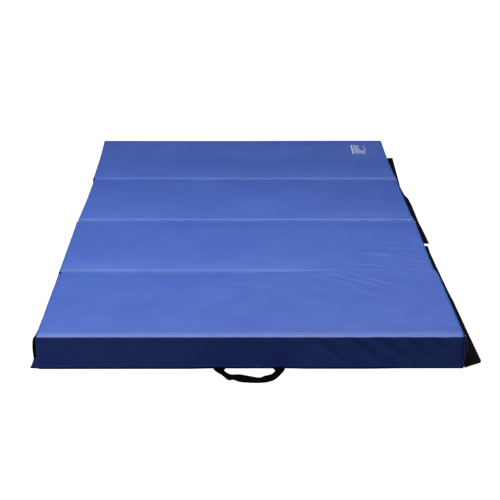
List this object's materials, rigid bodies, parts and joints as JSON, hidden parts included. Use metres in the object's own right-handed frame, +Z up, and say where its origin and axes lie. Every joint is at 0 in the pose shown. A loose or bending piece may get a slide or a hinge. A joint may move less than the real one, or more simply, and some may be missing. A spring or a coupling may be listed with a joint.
{
  "type": "folding gym mat",
  "caption": "Accordion-folding floor mat: foam panels in a coated-fabric cover, joined by fabric hinges, with hook-and-loop side strips and webbing carry handles.",
  "frame": {"origin": "on the floor, at the middle of the outline of the whole mat as it lies open, side flaps and handles included", "axes": "+X across the mat towards its flap side, +Y along the mat from panel 4 to panel 1, +Z up from the floor"},
  "size_m": [1.2762, 2.6546, 0.1023],
  "materials": {
    "cover_vinyl": "semi-gloss coated fabric",
    "soft_foam": "matte closed-cell foam",
    "firm_foam": "matte closed-cell foam",
    "woven_backing": "tightly woven, matte",
    "hook_tape": "fine plastic hooks",
    "loop_tape": "short brushed pile",
    "webbing": "ribbed weave",
    "label_print": "screen print"
  },
  "bodies": {
    "panel_1": {"top_sheet_1": "cover_vinyl", "bottom_sheet_1": "cover_vinyl", "side_band_1": "cover_vinyl", "soft_foam_1": "soft_foam", "firm_foam_1": "firm_foam", "loop_tape_1": "loop_tape", "fold_1_leaf_far": "cover_vinyl", "handle_patch_far": "webbing", "care_label": "label_print"},
    "flap_1": {"side_flap_1": "woven_backing", "hook_tape_1": "hook_tape"},
    "panel_2": {"top_sheet_2": "cover_vinyl", "bottom_sheet_2": "cover_vinyl", "side_band_2": "cover_vinyl", "soft_foam_2": "soft_foam", "firm_foam_2": "firm_foam", "loop_tape_2": "loop_tape", "fold_2_leaf_far": "cover_vinyl", "fold_1_leaf_near": "cover_vinyl"},
    "flap_2": {"side_flap_2": "woven_backing", "hook_tape_2": "hook_tape"},
    "panel_3": {"top_sheet_3": "cover_vinyl", "bottom_sheet_3": "cover_vinyl", "side_band_3": "cover_vinyl", "soft_foam_3": "soft_foam", "firm_foam_3": "firm_foam", "loop_tape_3": "loop_tape", "fold_3_leaf_far": "cover_vinyl", "fold_2_leaf_near": "cover_vinyl"},
    "flap_3": {"side_flap_3": "woven_backing", "hook_tape_3": "hook_tape"},
    "panel_4": {"top_sheet_4": "cover_vinyl", "bottom_sheet_4": "cover_vinyl", "side_band_4": "cover_vinyl", "soft_foam_4": "soft_foam", "firm_foam_4": "firm_foam", "loop_tape_4": "loop_tape", "fold_3_leaf_near": "cover_vinyl", "handle_patch_near": "webbing"},
    "flap_4": {"side_flap_4": "woven_backing", "hook_tape_4": "hook_tape"},
    "grip_far": {"handle_far": "webbing"},
    "grip_near": {"handle_near": "webbing"}
  },
  "joints": [
    {"name": "fold_1", "type": "hinge", "parent": "panel_2", "child": "panel_1", "pos_m": [-0.02615, 0.61, -0.0002], "axis": [-1, 0, 0], "range_deg": [0, 180]},
    {"name": "fold_2", "type": "hinge", "parent": "panel_2", "child": "panel_3", "pos_m": [-0.02615, 0, 0.1022], "axis": [-1, 0, 0], "range_deg": [0, 180]},
    {"name": "fold_3", "type": "hinge", "parent": "panel_3", "child": "panel_4", "pos_m": [-0.02615, -0.61, -0.0002], "axis": [1, 0, 0], "range_deg": [0, 180]},
    {"name": "flap_1_lift", "type": "hinge", "parent": "panel_1", "child": "flap_1", "pos_m": [0.58415, 0.915, 0.003], "axis": [0, -1, 0], "range_deg": [0, 90]},
    {"name": "flap_2_lift", "type": "hinge", "parent": "panel_2", "child": "flap_2", "pos_m": [0.58415, 0.305, 0.003], "axis": [0, -1, 0], "range_deg": [0, 90]},
    {"name": "flap_3_lift", "type": "hinge", "parent": "panel_3", "child": "flap_3", "pos_m": [0.58415, -0.305, 0.003], "axis": [0, -1, 0], "range_deg": [0, 90]},
    {"name": "flap_4_lift", "type": "hinge", "parent": "panel_4", "child": "flap_4", "pos_m": [0.58415, -0.915, 0.003], "axis": [0, -1, 0], "range_deg": [0, 90]},
    {"name": "grip_far_lift", "type": "hinge", "parent": "panel_1", "child": "grip_far", "pos_m": [-0.03215, 1.2173, 0.0025], "axis": [1, 0, 0], "range_deg": [0, 90]},
    {"name": "grip_near_lift", "type": "hinge", "parent": "panel_4", "child": "grip_near", "pos_m": [-0.03215, -1.2173, 0.0025], "axis": [-1, 0, 0], "range_deg": [0, 90]}
  ],
  "couplings": [
    {"joint": "flap_1_lift", "follows": "flap_2_lift", "ratio": 1},
    {"joint": "flap_4_lift", "follows": "flap_3_lift", "ratio": 1}
  ]
}
